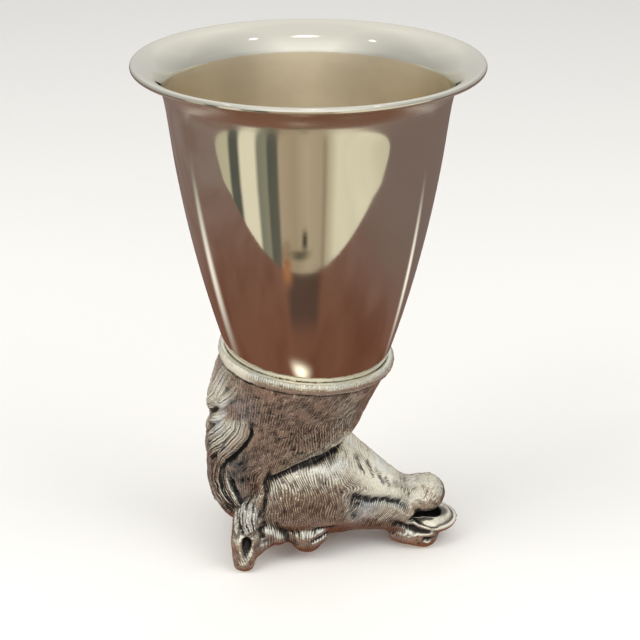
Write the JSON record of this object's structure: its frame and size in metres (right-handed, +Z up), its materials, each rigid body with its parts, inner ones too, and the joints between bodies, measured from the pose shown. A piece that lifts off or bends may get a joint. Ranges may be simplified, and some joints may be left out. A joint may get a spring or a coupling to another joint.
{
  "type": "stirrup cup",
  "caption": "Flared metal beaker standing in the collar of an upside-down cast horse head, which carries the cup on its ears and nose; for drinking.",
  "frame": {"origin": "on the table under the beaker's axis", "axes": "+Z up along the beaker's axis, +X the way the muzzle points"},
  "size_m": [0.09, 0.09, 0.142],
  "materials": {
    "polished_silver": "polished silver plate, satin inside",
    "steel": "bright turned steel",
    "fibre": "red vulcanised fibre",
    "brass": "turned brass",
    "oxidised_silver": "cast white metal, silver plated, oxidised dark in the recesses and worn bright on the ridges"
  },
  "bodies": {
    "root": {"beaker": "polished_silver", "threaded_stud": "steel", "seat_washer": "fibre", "fixing_plate": "brass", "head_casting": "oxidised_silver"}
  },
  "joints": []
}
